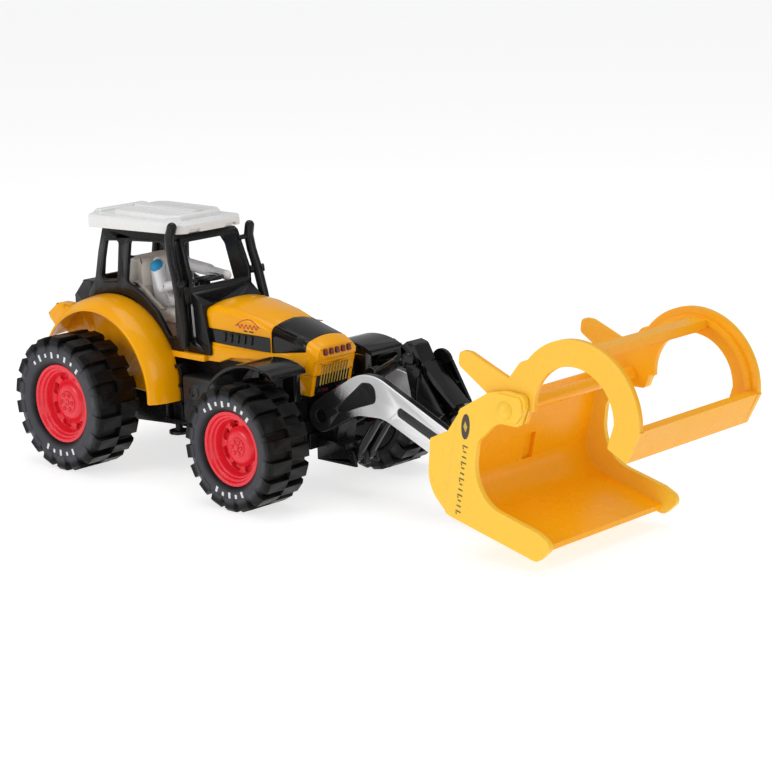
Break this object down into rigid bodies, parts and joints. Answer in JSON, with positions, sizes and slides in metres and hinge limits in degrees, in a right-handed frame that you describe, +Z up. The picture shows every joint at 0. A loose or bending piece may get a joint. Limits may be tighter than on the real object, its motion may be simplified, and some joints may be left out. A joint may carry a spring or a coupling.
{
  "type": "toy tractor",
  "caption": "Toy farm tractor with rolling wheels, an open cab with a seated driver, and a front loader whose arms, bucket and grapple swing.",
  "frame": {"origin": "on the ground, midway along the whole length, on the centre plane", "axes": "+X forward to the bucket, +Y to the tractor's left, +Z up"},
  "size_m": [0.2768, 0.0862, 0.0913],
  "materials": {
    "black_plastic": "satin moulded plastic",
    "black_gloss": "gloss",
    "tank_grey": "satin",
    "yellow_paint": "gloss enamel on die-cast metal",
    "dark_grille": "satin with gold bars",
    "red_lamp": "gloss",
    "white_plastic": "semi gloss",
    "seat_grey": "matte",
    "shirt": "matte paint",
    "skin": "matte paint",
    "wheel_black": "satin",
    "silver_plastic": "silver paint fading to black at the hub",
    "steel": "bright",
    "cylinder_black": "gloss",
    "bucket_yellow": "semi gloss moulded plastic",
    "tyre_rubber": "matte",
    "rim_red": "gloss moulded red"
  },
  "bodies": {
    "tractor": {"chassis": "black_plastic", "chassis_screws": "steel", "tow_hitch": "black_plastic", "side_steps_right": "black_plastic", "side_steps_left": "black_plastic", "fuel_tank_right": "tank_grey", "fuel_tank_left": "tank_grey", "step_feet": "black_plastic", "front_fender_right": "black_gloss", "front_fender_left": "black_gloss", "loader_mount": "black_plastic", "body_shell": "yellow_paint", "bonnet_cap": "black_gloss", "vent_strip_right": "black_plastic", "vent_strip_left": "black_plastic", "grille": "dark_grille", "light_strip": "red_lamp", "cab_frame": "black_plastic", "cab_roof": "white_plastic", "rear_box": "black_plastic", "pillar_pipe_right": "black_plastic", "pillar_pipe_left": "black_plastic", "seat": "seat_grey", "driver_body": "shirt", "driver_head": "skin", "steering_console": "black_plastic", "steering_wheel": "wheel_black", "arm_pivot_pin": "steel", "lift_base_pin": "steel"},
    "rear_wheels": {"rear_axle": "steel", "rear_rim_right": "rim_red", "rear_rim_left": "rim_red", "rear_tyre_right": "tyre_rubber", "rear_tyre_left": "tyre_rubber"},
    "front_wheels": {"front_axle": "steel", "front_rim_right": "rim_red", "front_rim_left": "rim_red", "front_tyre_right": "tyre_rubber", "front_tyre_left": "tyre_rubber"},
    "loader_arms": {"loader_arm_right": "silver_plastic", "loader_arm_left": "silver_plastic", "arm_pins": "steel", "linkage_bracket": "black_plastic", "crank_pin": "steel"},
    "lift_barrels": {"lift_barrels": "cylinder_black"},
    "lift_rods": {"lift_rods": "steel"},
    "tilt_crank": {"tilt_crank": "black_plastic"},
    "tilt_barrel": {"tilt_barrel": "black_plastic"},
    "tilt_rod": {"tilt_rod": "steel"},
    "bucket": {"bucket_shell": "bucket_yellow", "bucket_carrier": "black_plastic", "grapple_pins": "bucket_yellow"},
    "grapple": {"grapple_frame": "bucket_yellow"}
  },
  "joints": [
    {"name": "rear_axle_spin", "type": "hinge", "parent": "tractor", "child": "rear_wheels", "pos_m": [-0.1106, 0, 0.0243], "axis": [0, 1, 0], "continuous": true},
    {"name": "front_axle_spin", "type": "hinge", "parent": "tractor", "child": "front_wheels", "pos_m": [-0.0226, 0, 0.0213], "axis": [0, 1, 0], "continuous": true},
    {"name": "loader_lift", "type": "hinge", "parent": "tractor", "child": "loader_arms", "pos_m": [-0.0132, 0, 0.0273], "axis": [0, -1, 0], "range_deg": [-2, 30]},
    {"name": "lift_cylinder_swing", "type": "hinge", "parent": "tractor", "child": "lift_barrels", "pos_m": [-0.0014, 0, 0.0138], "axis": [0, -1, 0], "range_deg": [-1.69, 22.51]},
    {"name": "lift_rod_slide", "type": "slide", "parent": "lift_barrels", "child": "lift_rods", "axis": [0.5858, 0, 0.8104], "range_m": [-0.00063, 0.00869]},
    {"name": "bucket_tilt", "type": "hinge", "parent": "loader_arms", "child": "bucket", "pos_m": [0.0594, 0, 0.01791], "axis": [0, 1, 0], "range_deg": [-15, 40]},
    {"name": "crank_swing", "type": "hinge", "parent": "loader_arms", "child": "tilt_crank", "pos_m": [0.0289, 0, 0.04771], "axis": [0, 1, 0], "range_deg": [-25, 9.5]},
    {"name": "tilt_cylinder_swing", "type": "hinge", "parent": "loader_arms", "child": "tilt_barrel", "pos_m": [0.0052, 0, 0.0424], "axis": [0, -1, 0], "range_deg": [-5.51, 2.19]},
    {"name": "tilt_rod_slide", "type": "slide", "parent": "tilt_barrel", "child": "tilt_rod", "axis": [0.8702, 0, 0.4926], "range_m": [-0.00276, 0.00106]},
    {"name": "grapple_swing", "type": "hinge", "parent": "bucket", "child": "grapple", "pos_m": [0.0902, 0, 0.04941], "axis": [0, -1, 0], "range_deg": [-30, 20]}
  ],
  "couplings": [
    {"joint": "lift_cylinder_swing", "follows": "loader_lift", "ratio": 0.74365},
    {"joint": "lift_rod_slide", "follows": "loader_lift", "m_per_rad": 0.016492},
    {"joint": "crank_swing", "follows": "bucket_tilt", "ratio": -0.62},
    {"joint": "tilt_cylinder_swing", "follows": "bucket_tilt", "ratio": -0.13288},
    {"joint": "tilt_rod_slide", "follows": "bucket_tilt", "m_per_rad": -0.0038786}
  ]
}
